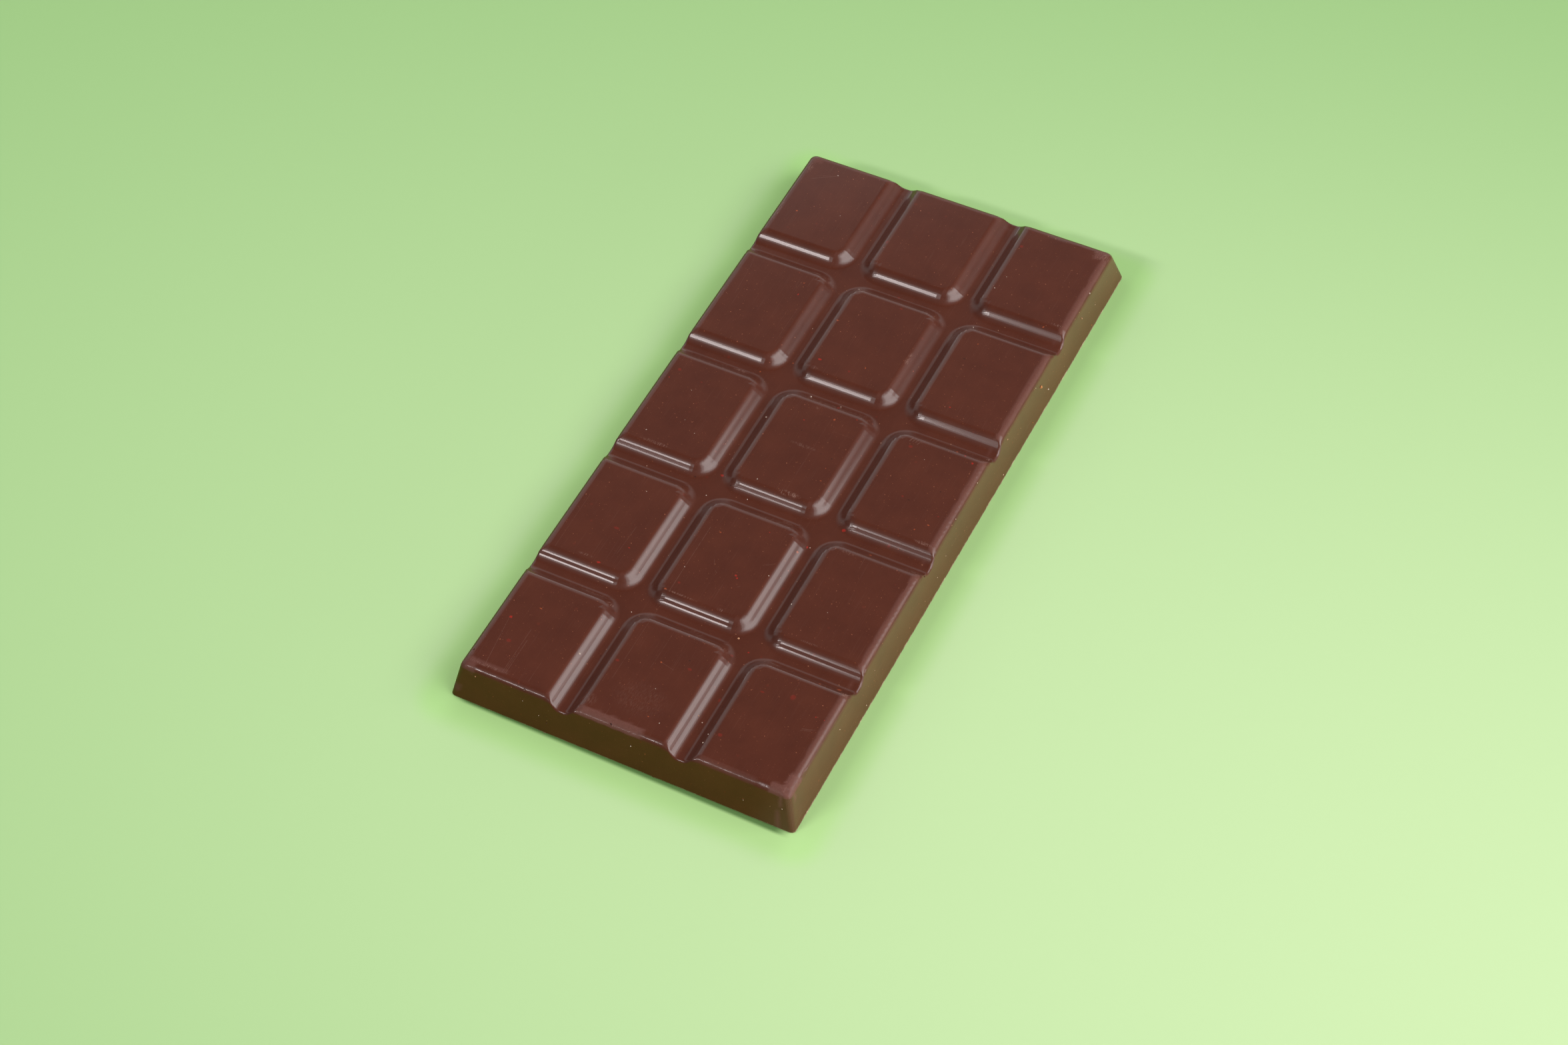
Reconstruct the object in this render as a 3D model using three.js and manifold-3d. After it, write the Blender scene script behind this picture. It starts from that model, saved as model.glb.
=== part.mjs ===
// A moulded bar of dark chocolate: three columns and five rows of raised pads, in one piece.
// Millimetres, +Z up. The origin is at the middle of the flat base, with the rows along Y.
import * as THREE from 'three';
import { mergeVertices } from 'three/addons/utils/BufferGeometryUtils.js';
import Module from 'manifold-3d';

// The whole bar.
const barWidth = 70.4; // across the columns, at the base
const barLength = 148; // along the rows, at the base
const barHeight = 8.3; // from the base to the tops of the pads
const sideDraft = 2.2; // how far each long wall leans in from the base to the top
const endDraft = 2.8; // the same for each end wall
const rimRadius = 1.2; // rounding between a wall and the pad tops
const baseChamfer = 0.25; // thin broken edge round the base
const baseCornerRadius = 1; // upright corners, in plan, at the base
const topCornerRadius = 1.8; // the same at the top

// The grooves that part the pads.
const columns = 3;
const rows = 5;
const columnPitch = 24;
const rowPitch = 29.8;
const grooveDepth = 1.93;
const grooveHalfWidth = 4.1; // from the middle of a groove to the flat top of a pad
const valleyHalfWidth = 0.58; // flat strip along the bottom of a groove
const padCornerRadius = 1.6; // corners of the flat top where two grooves cross

// Smoothness of the curved faces.
const cornerSteps = 6;
const slopeSteps = 10;
const rimSteps = 5;

// Solids run past each other by these amounts, so that no two faces lie in one plane.
const reach = 8;
const skin = 0.02;

const chocolate = { color: 0x5a2e21, roughness: 0.38, metalness: 0 };

const wasm = await Module();
wasm.setup();

// Closed outline of a rectangle with round corners, anticlockwise seen from above.
function roundedOutline(box, radius) {
  const corners = [
    [box.max.x - radius, box.max.y - radius],
    [box.min.x + radius, box.max.y - radius],
    [box.min.x + radius, box.min.y + radius],
    [box.max.x - radius, box.min.y + radius],
  ];
  const points = [];
  corners.forEach(([x, y], quarter) => {
    for (let step = 0; step <= cornerSteps; step += 1) {
      const angle = (quarter + step / cornerSteps) * (Math.PI / 2);
      points.push(new THREE.Vector2(x + radius * Math.cos(angle), y + radius * Math.sin(angle)));
    }
  });
  return points;
}

// Closed body through a stack of outlines, each { outline, z }, from the lowest to the highest.
function loftedBody(sections) {
  const count = sections[0].outline.length;
  const positions = sections.flatMap(({ outline, z }) => outline.flatMap((point) => [point.x, point.y, z]));
  const faces = [];
  for (let level = 0; level < sections.length - 1; level += 1) {
    for (let i = 0; i < count; i += 1) {
      const a = level * count + i;
      const b = level * count + ((i + 1) % count);
      faces.push(a, b, b + count, a, b + count, a + count);
    }
  }
  const top = (sections.length - 1) * count;
  THREE.ShapeUtils.triangulateShape(sections[0].outline, []).forEach(([a, b, c]) => {
    faces.push(a, c, b);
  });
  THREE.ShapeUtils.triangulateShape(sections.at(-1).outline, []).forEach(([a, b, c]) => {
    faces.push(top + a, top + b, top + c);
  });
  const geometry = new THREE.BufferGeometry();
  geometry.setAttribute('position', new THREE.Float32BufferAttribute(positions, 3));
  geometry.setIndex(faces);
  return geometry;
}

function toSolid(geometry) {
  const bare = geometry.clone();
  bare.deleteAttribute('normal');
  bare.deleteAttribute('uv');
  const merged = mergeVertices(bare, 1e-5);
  return new wasm.Manifold(
    new wasm.Mesh({
      numProp: 3,
      vertProperties: new Float32Array(merged.attributes.position.array),
      triVerts: new Uint32Array(merged.index.array),
    }),
  );
}

function toGeometry(solid) {
  const mesh = solid.getMesh();
  const geometry = new THREE.BufferGeometry();
  geometry.setAttribute('position', new THREE.BufferAttribute(mesh.vertProperties, 3));
  geometry.setIndex(new THREE.BufferAttribute(mesh.triVerts, 1));
  geometry.computeVertexNormals();
  return geometry;
}

// How far a wall has leaned in at height z: straight at first, then round the rim.
function wallInset(z, draft) {
  const lean = Math.atan(draft / barHeight);
  const rimCentre = draft + rimRadius * Math.tan((Math.PI / 2 - lean) / 2);
  const aboveCentre = z - (barHeight - rimRadius);
  if (aboveCentre <= rimRadius * Math.sin(lean)) {
    return (draft * z) / barHeight;
  }
  return rimCentre - Math.sqrt(Math.max(0, rimRadius ** 2 - aboveCentre ** 2));
}

// The bar without its grooves: leaning walls, a round rim and a flat top.
function outerSection(z, extraInset) {
  const halfWidth = barWidth / 2 - wallInset(z, sideDraft) - extraInset;
  const halfLength = barLength / 2 - wallInset(z, endDraft) - extraInset;
  const box = new THREE.Box2(
    new THREE.Vector2(-halfWidth, -halfLength),
    new THREE.Vector2(halfWidth, halfLength),
  );
  const radius = THREE.MathUtils.lerp(baseCornerRadius, topCornerRadius, z / barHeight);
  return { outline: roundedOutline(box, radius), z };
}

function outerBody() {
  const lean = Math.atan(sideDraft / barHeight);
  const sections = [outerSection(0, baseChamfer), outerSection(baseChamfer, 0)];
  for (let step = 0; step <= rimSteps; step += 1) {
    const angle = THREE.MathUtils.lerp(lean, Math.PI / 2, step / rimSteps);
    sections.push(outerSection(barHeight - rimRadius * (1 - Math.sin(angle)), 0));
  }
  return loftedBody(sections);
}

// One pad with its slopes: a level top, then a wave-shaped fall to the bottom of the grooves.
// A pad at the edge of the bar runs on past the outer walls.
function padBody(column, row) {
  const x = (column - (columns - 1) / 2) * columnPitch;
  const y = (row - (rows - 1) / 2) * rowPitch;
  const flat = new THREE.Box2(
    new THREE.Vector2(x - columnPitch / 2 + grooveHalfWidth, y - rowPitch / 2 + grooveHalfWidth),
    new THREE.Vector2(x + columnPitch / 2 - grooveHalfWidth, y + rowPitch / 2 - grooveHalfWidth),
  );
  flat.min.x -= column === 0 ? reach : 0;
  flat.max.x += column === columns - 1 ? reach : 0;
  flat.min.y -= row === 0 ? reach : 0;
  flat.max.y += row === rows - 1 ? reach : 0;
  const slopeWidth = grooveHalfWidth - valleyHalfWidth;
  const sections = [];
  for (let step = 0; step <= slopeSteps; step += 1) {
    const along = step / slopeSteps;
    const grown = flat.clone().expandByScalar(along * slopeWidth);
    const fall = (grooveDepth + 2 * skin) * (0.5 - 0.5 * Math.cos(Math.PI * along));
    const outline = roundedOutline(grown, padCornerRadius + along * slopeWidth);
    sections.unshift({ outline, z: barHeight + skin - fall });
  }
  const foot = sections[0];
  sections.unshift({ outline: foot.outline, z: foot.z - 1 });
  return loftedBody(sections);
}

// Everything up to the bottom of the grooves, run out past the walls.
function valleySlab() {
  const depthBelow = 2;
  const height = barHeight - grooveDepth + depthBelow;
  const slab = new THREE.BoxGeometry(barWidth + 2 * reach, barLength + 2 * reach, height);
  slab.translate(0, 0, height / 2 - depthBelow);
  return slab;
}

function makeBar() {
  let moulded = toSolid(valleySlab());
  for (let column = 0; column < columns; column += 1) {
    for (let row = 0; row < rows; row += 1) {
      moulded = moulded.add(toSolid(padBody(column, row)));
    }
  }
  const bar = moulded.intersect(toSolid(outerBody()));
  const mesh = new THREE.Mesh(toGeometry(bar), new THREE.MeshStandardMaterial(chocolate));
  mesh.name = 'bar';
  return mesh;
}

const chocolateBar = new THREE.Group();
chocolateBar.add(makeBar());

export default chocolateBar;
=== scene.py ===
import math
import bpy
import numpy as np
from mathutils import Matrix, Vector


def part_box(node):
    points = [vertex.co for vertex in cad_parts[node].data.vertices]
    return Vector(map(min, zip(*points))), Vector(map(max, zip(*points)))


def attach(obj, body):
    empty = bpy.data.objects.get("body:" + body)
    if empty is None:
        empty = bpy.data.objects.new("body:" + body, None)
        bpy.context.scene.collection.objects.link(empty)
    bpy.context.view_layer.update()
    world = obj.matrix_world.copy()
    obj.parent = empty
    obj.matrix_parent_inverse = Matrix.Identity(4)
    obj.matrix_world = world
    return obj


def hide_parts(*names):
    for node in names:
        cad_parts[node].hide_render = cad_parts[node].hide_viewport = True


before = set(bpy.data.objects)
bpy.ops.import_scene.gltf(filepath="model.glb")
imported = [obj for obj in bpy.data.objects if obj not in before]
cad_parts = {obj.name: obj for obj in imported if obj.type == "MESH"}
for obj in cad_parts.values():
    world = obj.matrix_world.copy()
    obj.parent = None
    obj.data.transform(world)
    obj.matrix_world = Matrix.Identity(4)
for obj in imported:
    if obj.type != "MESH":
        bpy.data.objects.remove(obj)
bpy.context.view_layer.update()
mm = 0.001
barLow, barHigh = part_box("bar")
print("frame loaded, bar is", [round(v / mm, 2) for v in barHigh - barLow], "mm")


def startFresh():
    if bpy.context.object and bpy.context.object.mode != "OBJECT":
        bpy.ops.object.mode_set(mode="OBJECT")
    bpy.ops.object.select_all(action="DESELECT")


def readPoints(obj, what="co"):
    # one row for each vertex: its place, or its normal
    points = np.zeros(len(obj.data.vertices) * 3)
    obj.data.vertices.foreach_get(what, points)
    return points.reshape(-1, 3)


def writePoints(obj, points):
    obj.data.vertices.foreach_set("co", points.ravel())
    obj.data.update()


def storeShare(piece, name, values):
    # keeps one value for each vertex, which the finish reads as an attribute
    layer = piece.data.attributes.new(name, "FLOAT", "POINT")
    layer.data.foreach_set("value", values)


def smooth(t):
    t = np.clip(t, 0, 1)
    return t * t * (3 - 2 * t)


def waviness(x, y, size, seed):
    # gentle seeded noise, mostly between -1 and 1, from a few sine waves laid at odd angles
    random = np.random.default_rng(seed)
    total = np.zeros(np.broadcast(x, y).shape)
    for _ in range(6):
        angle, phase = random.uniform(0, 2 * math.pi, 2)
        length = size * random.uniform(0.6, 1.6)
        total += np.sin((x * math.cos(angle) + y * math.sin(angle)) * 2 * math.pi / length + phase)
    return total / 4


def mixedWaviness(x, y, size, seed, largerSize, largerSeed, largerShare):
    return waviness(x, y, size, seed) + largerShare * waviness(x, y, largerSize, largerSeed)


bar = {
    "halfWidth": (barHigh.x - barLow.x) / 2,
    "halfLength": (barHigh.y - barLow.y) / 2,
    "height": barHigh.z - barLow.z,
    "sideLean": 1.79 * mm,  # the long walls lean in by this much over the height
    "endLean": 2.42 * mm,
    "rimRadius": 1.65 * mm,
    "notchRadius": 0.68 * mm,  # the rim where a groove runs out through a wall
    "rimFade": 0.9 * mm,  # groove depth at which the rim has become that sharp
    "baseRadius": 0.22 * mm,
    "frontFoot": 0.35 * mm,  # the foot is rounder by this much along the front
    "baseCorner": 1.0 * mm,  # upright corners, in plan, at the base and at the top
    "topCorner": 1.25 * mm,
    "columns": 3,
    "rows": 5,
    "columnPitch": 24.0 * mm,
    "rowPitch": 29.8 * mm,
    "grooveDepth": 1.96 * mm,
    "steepShare": 0.05,  # this share of a groove's fall is steeper, half way down
    "steepness": 11.5,
    "grooveHalf": 4.1 * mm,  # from the middle of a groove to the flat top of a pad
    "valleyHalf": 0.58 * mm,
    "padCorner": 1.6 * mm,
    "reachLeft": 0.37 * mm,  # the pads reach this much further into the grooves on their left
    "reachFront": 0.17 * mm,  # and on their front
    "cornerZone": 3.0 * mm,  # stretch beside each corner in which the net bends round it
    "netAcross": (8, 18, 38, 18, 38, 18, 8),  # cells of the net: corner, pad, groove, pad and so on
    "netAlong": (8, 20, 38, 26, 38, 26, 38, 26, 38, 20, 8),
    "rimSteps": 7,
    "wallSteps": 8,
    "baseSteps": 3,
    "smoothAngle": 50,
}
leanX = math.atan(bar["sideLean"] / bar["height"])
leanY = math.atan(bar["endLean"] / bar["height"])

wear = {
    # pinholes left by air: side, place along it, distance out from the start of the rim, radius, depth
    "pinholes": (
        ("front", -20.0, 1.22, 0.15, 0.16),
        ("front", -2.3, 1.25, 0.21, 0.3),
        ("front", -9.55, -0.1, 0.16, 0.14),
        ("front", 14.75, 0.95, 0.13, 0.12),
        ("front", -15.0, 6.8, 0.1, 0.1),
        ("left", -67.8, 0.6, 0.17, 0.2),
        ("right", -16.85, 2.35, 0.24, 0.3),
        ("back", 7.4, 0.9, 0.15, 0.15),
    ),
    # dents rubbed into the rims: side, from, to, distances out between which they lie, depth
    "flats": (
        ("front", -9.4, 3.4, -0.6, 2.1, 0.1),
        ("front", -29.0, -15.5, 0.3, 1.5, 0.016),
        ("front", 3.6, 8.6, 0.3, 1.5, 0.016),
        ("front", 15.6, 26.5, 0.3, 1.5, 0.016),
        ("front", 26.7, 29.4, 0.3, 2.0, 0.055),
        ("front", 29.4, 33.0, -0.4, 1.9, 0.07),
        ("right", -72.5, -66.8, -0.6, 1.9, 0.07),
        ("right", -66.6, -65.2, 1.0, 2.6, 0.06),
        ("back", 20.0, 24.0, -0.3, 1.7, 0.05),
        ("left", 30.0, 37.0, -0.2, 1.6, 0.04),
    ),
    "flatEnds": 0.9 * mm,
    # matte rubbed skin, whose paler colour along the rims also paints part of their soft sheen: side, from,
    # to, distances out between which it lies, strength
    "rubbed": (
        ("front", -33.0, -24.7, -0.95, -0.05, 0.5),
        ("front", -33.8, -30.4, -0.9, 2.0, 0.75),
        ("front", -9.2, 3.9, -0.3, 1.9, 0.92),
        ("front", 14.6, 26.6, 0.2, 1.8, 0.3),
        ("front", 29.2, 34.5, -0.3, 2.0, 0.95),
        ("right", -74.0, -67.0, -0.6, 2.1, 0.85),
        ("right", -67.0, 69.0, -0.05, 1.35, 0.62),
        ("right", 68.6, 74.0, -1.6, 0.3, 0.8),
        ("back", -34.0, -30.5, -0.9, 1.6, 0.6),
        ("back", -33.0, 33.0, 0.0, 1.5, 0.3),
        ("left", -74.0, 74.0, 0.1, 1.6, 0.3),
        ("front", -35.0, -33.0, 6.2, 7.6, 0.8),
    ),
    "rubEdge": 0.22 * mm,  # softness of a rubbed place's long edges and of its ends
    "rubEnds": 0.66 * mm,
    "wanderSize": 2.2 * mm,  # the outline of a rubbed place wanders in and out
    "wanderSeed": 3,
    "wanderAcross": 0.108 * mm,
    "wanderAlong": 0.36 * mm,
    "rimRipple": 0.0075 * mm,  # slight unevenness of the rims, more where they are rubbed
    "rippleSize": 1.1 * mm,
    "rippleSeed": 5,
    "rippleLeast": 0.3,
    "footChip": 0.018 * mm,  # how far the broken foot wanders in
    "footChipMost": 1.6,
    # unevenness of the foot and of the lips left round it: size and seed, larger size and seed, its share
    "footNoise": (0.9 * mm, 7, 3.1 * mm, 8, 0.7),
    "lipNoise": (1.3 * mm, 11, 5.5 * mm, 12, 0.8),
    "lipStart": 0.1,
    "lipFade": 0.9,
    "lipFill": 0.6,  # how much of the rounding of the foot a lip fills
    # shape of a pinhole in shares of its radius: level floor, wall, then the place and width of its ring
    "holeFloor": 0.55,
    "holeWall": 0.5,
    "ringPlace": 1.25,
    "ringWidth": 0.2,
    "ringHeight": 0.06,  # in shares of its depth
    # slopes that face the back are dragged, but for the end of the bar
    "dragFacing": 0.25,
    "dragFade": 0.3,
    "dragMargin": 4 * mm,
    "fineRim": 3.0 * mm,  # stretch from the front and right walls in which the rim's net is closer
    "pinholeNet": ((0.8 * mm, 1), (0.42 * mm, 3)),
}


def wave(t):
    # the fall from a pad into a groove, a shade steeper half way down
    t = np.clip(t, 0, 1)
    steep = 0.5 + 0.5 * np.tanh((t - 0.5) * bar["steepness"])
    return (1 - bar["steepShare"]) * (0.5 - 0.5 * np.cos(math.pi * t)) + bar["steepShare"] * steep


def grooveDepth(x, y):
    # depth below the pad tops: each pad falls away in a wave along its rounded outline
    slope = bar["grooveHalf"] - bar["valleyHalf"]
    gaps = []
    for spot, pitch, count, reach in ((x, bar["columnPitch"], bar["columns"], bar["reachLeft"]),
                                      (y, bar["rowPitch"], bar["rows"], bar["reachFront"])):
        last = (count - 1) / 2
        pad = np.clip(np.round(spot / pitch), -last, last)
        offset = spot - pad * pitch
        outward = (np.abs(pad) == last) & (offset * pad > 0)
        flat = pitch / 2 - bar["grooveHalf"] - bar["padCorner"]
        gaps.append(np.where(outward, 0, np.abs(offset)) - flat - np.where(offset < 0, reach, 0))
    away = np.hypot(np.maximum(gaps[0], 0), np.maximum(gaps[1], 0)) - bar["padCorner"]
    return bar["grooveDepth"] * wave(away / slope)


def rimRadiusAt(depth):
    return bar["rimRadius"] + (bar["notchRadius"] - bar["rimRadius"]) * smooth(depth / bar["rimFade"])


def wallInset(z, lean, depth):
    # how far the wall stands in from its foot at height z, round the rim too
    radius = rimRadiusAt(depth)
    angle = math.atan(lean / bar["height"])
    crown = bar["height"] - depth
    aboveCentre = z - (crown - radius)
    centre = lean * crown / bar["height"] + radius * math.tan((math.pi / 2 - angle) / 2)
    onRim = aboveCentre > radius * math.sin(angle)
    rim = centre - np.sqrt(np.maximum(0, radius ** 2 - aboveCentre ** 2))
    return np.where(onRim, rim, lean * z / bar["height"])


def netPlaces(cells, pitch, reach):
    # where the lines of the net lie: close together in the grooves and wide apart on the pads
    marks = [-reach, -reach + bar["cornerZone"]]
    grooves = (len(cells) - 3) // 2
    for number in range(grooves):
        middle = (number - (grooves - 1) / 2) * pitch
        marks += [middle - bar["grooveHalf"], middle + bar["grooveHalf"]]
    marks += [reach - bar["cornerZone"], reach]
    places = [np.linspace(a, b, n, endpoint=False) for a, b, n in zip(marks, marks[1:], cells)]
    return np.append(np.concatenate(places), reach)


def roundCorner(a, b):
    # bends the square net of a corner, 0 to 1 each way, into a round one
    share = bar["topCorner"] / bar["cornerZone"]
    arc = share * math.pi / 4
    bend = (1 - share) / (1 - share + arc)
    size = np.maximum(np.maximum(a, b), 1e-9)
    side = np.minimum(a, b) / size
    angle = np.clip((side - bend) / (1 - bend), 0, 1) * math.pi / 4
    along = np.where(side < bend, side / bend * (1 - share), 1 - share + share * np.sin(angle))
    out = 1 - share + share * np.cos(angle)
    longA = a >= b
    return size * np.where(longA, out, along), size * np.where(longA, along, out), bend


def nearBorder(spot, reach):
    # 0 up to the corner zone, then rising to 1 at the border of the net
    return np.clip((np.abs(spot) - reach + bar["cornerZone"]) / bar["cornerZone"], 0, 1)


def pressTop(x, y, reachX, reachY):
    # the net of the top face, stretched out to the notches and bent round the corners
    depthAtSide = grooveDepth(np.full_like(y, reachX), y)
    depthAtEnd = grooveDepth(x, np.full_like(x, reachY))
    edgeX = bar["halfWidth"] - wallInset(bar["height"] - depthAtSide, bar["sideLean"], depthAtSide)
    edgeY = bar["halfLength"] - wallInset(bar["height"] - depthAtEnd, bar["endLean"], depthAtEnd)
    zone = bar["cornerZone"]
    nearX, nearY = nearBorder(x, reachX), nearBorder(y, reachY)
    bentX, bentY, _ = roundCorner(nearX, nearY)
    corner = (nearX > 0) & (nearY > 0)
    newX = np.where(corner, reachX - zone + zone * bentX, np.abs(x) + (edgeX - reachX) * nearX ** 2)
    newY = np.where(corner, reachY - zone + zone * bentY, np.abs(y) + (edgeY - reachY) * nearY ** 2)
    newX, newY = np.sign(x) * newX, np.sign(y) * newY
    return newX, newY, bar["height"] - grooveDepth(newX, newY)


def flashAt(x, y):
    # where a thin lip of chocolate was left round the foot, from 0 to 1
    return smooth((mixedWaviness(x, y, *wear["lipNoise"]) - wear["lipStart"]) / wear["lipFade"])


def pressWall(x, y, level, reachX, reachY):
    # the border of the net at each level down the walls: rim, wall, then the rounded foot
    zone = bar["cornerZone"]
    nearX, nearY = nearBorder(x, reachX), nearBorder(y, reachY)
    bend = roundCorner(np.ones(1), np.ones(1))[2]
    onSide = nearX >= nearY
    turn = np.clip((np.minimum(nearX, nearY) - bend) / (1 - bend), 0, 1) * math.pi / 4
    turn = np.where(onSide, turn, math.pi / 2 - turn)
    depth = np.where(onSide, grooveDepth(np.full_like(y, reachX), y),
                     grooveDepth(x, np.full_like(x, reachY)))
    radius = rimRadiusAt(depth)
    crown = bar["height"] - depth
    lean = leanX + (leanY - leanX) * np.sin(turn) ** 2
    tangent = crown - radius * (1 - np.sin(lean))
    foot = bar["baseRadius"] + bar["frontFoot"] * np.sin(turn) ** 2 * (y < 0)
    downRim = level / bar["rimSteps"]
    downWall = (level - bar["rimSteps"]) / bar["wallSteps"]
    downFoot = (level - bar["rimSteps"] - bar["wallSteps"]) / bar["baseSteps"]
    underFoot = np.clip(downFoot, 0, 1) * math.pi / 2
    onRim = crown - radius * (1 - np.sin(math.pi / 2 + (lean - math.pi / 2) * downRim))
    onWall = tangent + (foot - tangent) * downWall
    z = np.select([downRim <= 1, downWall <= 1], [onRim, onWall], foot * (1 - np.sin(underFoot)))
    tuck = foot * (1 - np.cos(underFoot)) * (1 - wear["lipFill"] * flashAt(x, y))
    halfX = bar["halfWidth"] - wallInset(z, bar["sideLean"], depth) - tuck
    halfY = bar["halfLength"] - wallInset(z, bar["endLean"], depth) - tuck
    corner = bar["baseCorner"] + (bar["topCorner"] - bar["baseCorner"]) * z / bar["height"]
    startX, startY = reachX - zone, reachY - zone
    alongX = startX + (halfX - corner - startX) * np.clip(nearX / bend, 0, 1)
    alongY = startY + (halfY - corner - startY) * np.clip(nearY / bend, 0, 1)
    straightX = np.where(nearX > 0, alongX, np.abs(x))
    straightY = np.where(nearY > 0, alongY, np.abs(y))
    arcX = halfX - corner + corner * np.cos(turn)
    arcY = halfY - corner + corner * np.sin(turn)
    inArc = np.minimum(nearX, nearY) > bend
    newX = np.where(inArc, arcX, np.where(onSide, halfX, straightX))
    newY = np.where(inArc, arcY, np.where(onSide, straightY, halfY))
    return np.sign(x) * newX, np.sign(y) * newY, z


def pressNet(net):
    # the flat net, x and y from -0.5 to 0.5 and levels as depths, turned into the moulded form
    across, along = sum(bar["netAcross"]), sum(bar["netAlong"])
    placesX = netPlaces(bar["netAcross"], bar["columnPitch"],
                        bar["halfWidth"] - float(wallInset(bar["height"], bar["sideLean"], 0.0)))
    placesY = netPlaces(bar["netAlong"], bar["rowPitch"],
                        bar["halfLength"] - float(wallInset(bar["height"], bar["endLean"], 0.0)))
    reachX, reachY = placesX[-1], placesY[-1]
    x = np.interp((net[:, 0] + 0.5) * across, np.arange(across + 1), placesX)
    y = np.interp((net[:, 1] + 0.5) * along, np.arange(along + 1), placesY)
    level = np.maximum(-net[:, 2], 0)
    top = level < 1e-6
    moulded = np.empty_like(net)
    moulded[top] = np.column_stack(pressTop(x[top], y[top], reachX, reachY))
    moulded[~top] = np.column_stack(pressWall(x[~top], y[~top], level[~top], reachX, reachY))
    return moulded


def wallShape(side):
    # whether the side is an end, half the bar's size that way, the lean and angle of its wall,
    # and its rim: how far in it starts, its length round and how far it drops
    isEnd = side in ("front", "back")
    half = bar["halfLength"] if isEnd else bar["halfWidth"]
    lean = bar["endLean"] if isEnd else bar["sideLean"]
    angle, radius = math.atan(lean / bar["height"]), bar["rimRadius"]
    rimStart = lean + radius * math.tan((math.pi / 2 - angle) / 2)
    rimEnd = radius * (math.pi / 2 - angle)
    rimDrop = radius * (1 - math.sin(angle))
    return isEnd, half, lean, angle, rimStart, rimEnd, rimDrop


def outwards(side):
    return -1 if side in ("front", "left") else 1


def edgeWay(points, side):
    # distance from the start of a side's rim, out and down along the skin, and the place along that side
    isEnd, half, _, angle, rimStart, rimEnd, rimDrop = wallShape(side)
    along, out = (points[:, 0], points[:, 1]) if isEnd else (points[:, 1], points[:, 0])
    radius = bar["rimRadius"]
    inset = half - outwards(side) * out
    below = bar["height"] - points[:, 2]
    onRim = radius * np.arccos(np.clip(1 - below / radius, -1, 1))
    onWall = rimEnd + (below - rimDrop) / math.cos(angle)
    way = np.where(inset > rimStart, rimStart - inset, np.where(below < rimDrop, onRim, onWall))
    return way, along


def edgePlace(side, along, way):
    # the point on the skin at that distance out from the start of the rim, in metres
    isEnd, half, lean, angle, rimStart, rimEnd, rimDrop = wallShape(side)
    radius = bar["rimRadius"]
    along, way = along * mm, way * mm
    if way < 0:
        inset, below = rimStart - way, 0
    elif way < rimEnd:
        inset = rimStart - radius * math.sin(way / radius)
        below = radius * (1 - math.cos(way / radius))
    else:
        below = rimDrop + (way - rimEnd) * math.cos(angle)
        inset = lean * (bar["height"] - below) / bar["height"]
    out = (half - inset) * outwards(side)
    x, y = (along, out) if isEnd else (out, along)
    return np.array((x, y, bar["height"] - below))


def band(value, low, high, soft):
    # 1 between low and high, with soft ends
    return smooth((value - low) / soft + 0.5) * smooth((high - value) / soft + 0.5)


def cutFiner(piece, chosen, cuts):
    # subdivides the chosen faces of the flat net
    startFresh()
    bpy.context.view_layer.objects.active = piece
    bpy.ops.object.mode_set(mode="EDIT")
    bpy.ops.mesh.select_mode(type="FACE")
    bpy.ops.mesh.select_all(action="DESELECT")
    bpy.ops.object.mode_set(mode="OBJECT")
    piece.data.polygons.foreach_set("select", chosen)
    bpy.ops.object.mode_set(mode="EDIT")
    bpy.ops.mesh.subdivide(number_cuts=cuts)
    bpy.ops.object.mode_set(mode="OBJECT")


def faceCentres(piece, points):
    starts = np.zeros(len(piece.data.polygons), dtype=np.int32)
    corners = np.zeros(len(piece.data.loops), dtype=np.int32)
    piece.data.polygons.foreach_get("loop_start", starts)
    piece.data.loops.foreach_get("vertex_index", corners)
    counts = np.diff(np.append(starts, len(corners)))
    return np.add.reduceat(points[corners], starts, axis=0) / counts[:, None], counts


def wearAway(points, level):
    # how far the skin has sunk or been rubbed at each point, and how matte it has become
    sink = np.zeros(len(points))
    rubbed = np.zeros(len(points))
    x, slantedY = points[:, 0], points[:, 1] + points[:, 2]
    wander = waviness(x, slantedY, wear["wanderSize"], wear["wanderSeed"])
    for side, low, high, inner, outer, depth in wear["flats"]:
        way, along = edgeWay(points, side)
        across = np.clip((way / mm - inner) / (outer - inner), 0, 1)
        dent = depth * mm * np.sin(math.pi * across) ** 2
        sink += dent * band(along, low * mm, high * mm, wear["flatEnds"])
    for side, low, high, inner, outer, strength in wear["rubbed"]:
        way, along = edgeWay(points, side)
        across = band(way + wear["wanderAcross"] * wander, inner * mm, outer * mm, wear["rubEdge"])
        between = band(along + wear["wanderAlong"] * wander, low * mm, high * mm, wear["rubEnds"])
        rubbed = np.maximum(rubbed, across * between * strength)
    onRim = (level > 0) & (level <= bar["rimSteps"])
    ripple = waviness(x, slantedY, wear["rippleSize"], wear["rippleSeed"])
    sink += np.where(onRim, wear["rimRipple"] * (1 + ripple) * (wear["rippleLeast"] + rubbed), 0)
    # the foot is broken off unevenly where the bar left its mould
    foot = level > bar["rimSteps"] + bar["wallSteps"] - 0.5
    chip = np.clip(mixedWaviness(x, points[:, 1], *wear["footNoise"]), 0, wear["footChipMost"])
    sink += np.where(foot, wear["footChip"] * chip, 0)
    for side, along, way, radius, depth in wear["pinholes"]:
        away = np.linalg.norm(points - edgePlace(side, along, way), axis=1) / (radius * mm)
        ring = np.exp(-((away - wear["ringPlace"]) / wear["ringWidth"]) ** 2) * wear["ringHeight"]
        sink += depth * mm * (1 - smooth((away - wear["holeFloor"]) / wear["holeWall"]) - ring)
    return sink, rubbed


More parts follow.
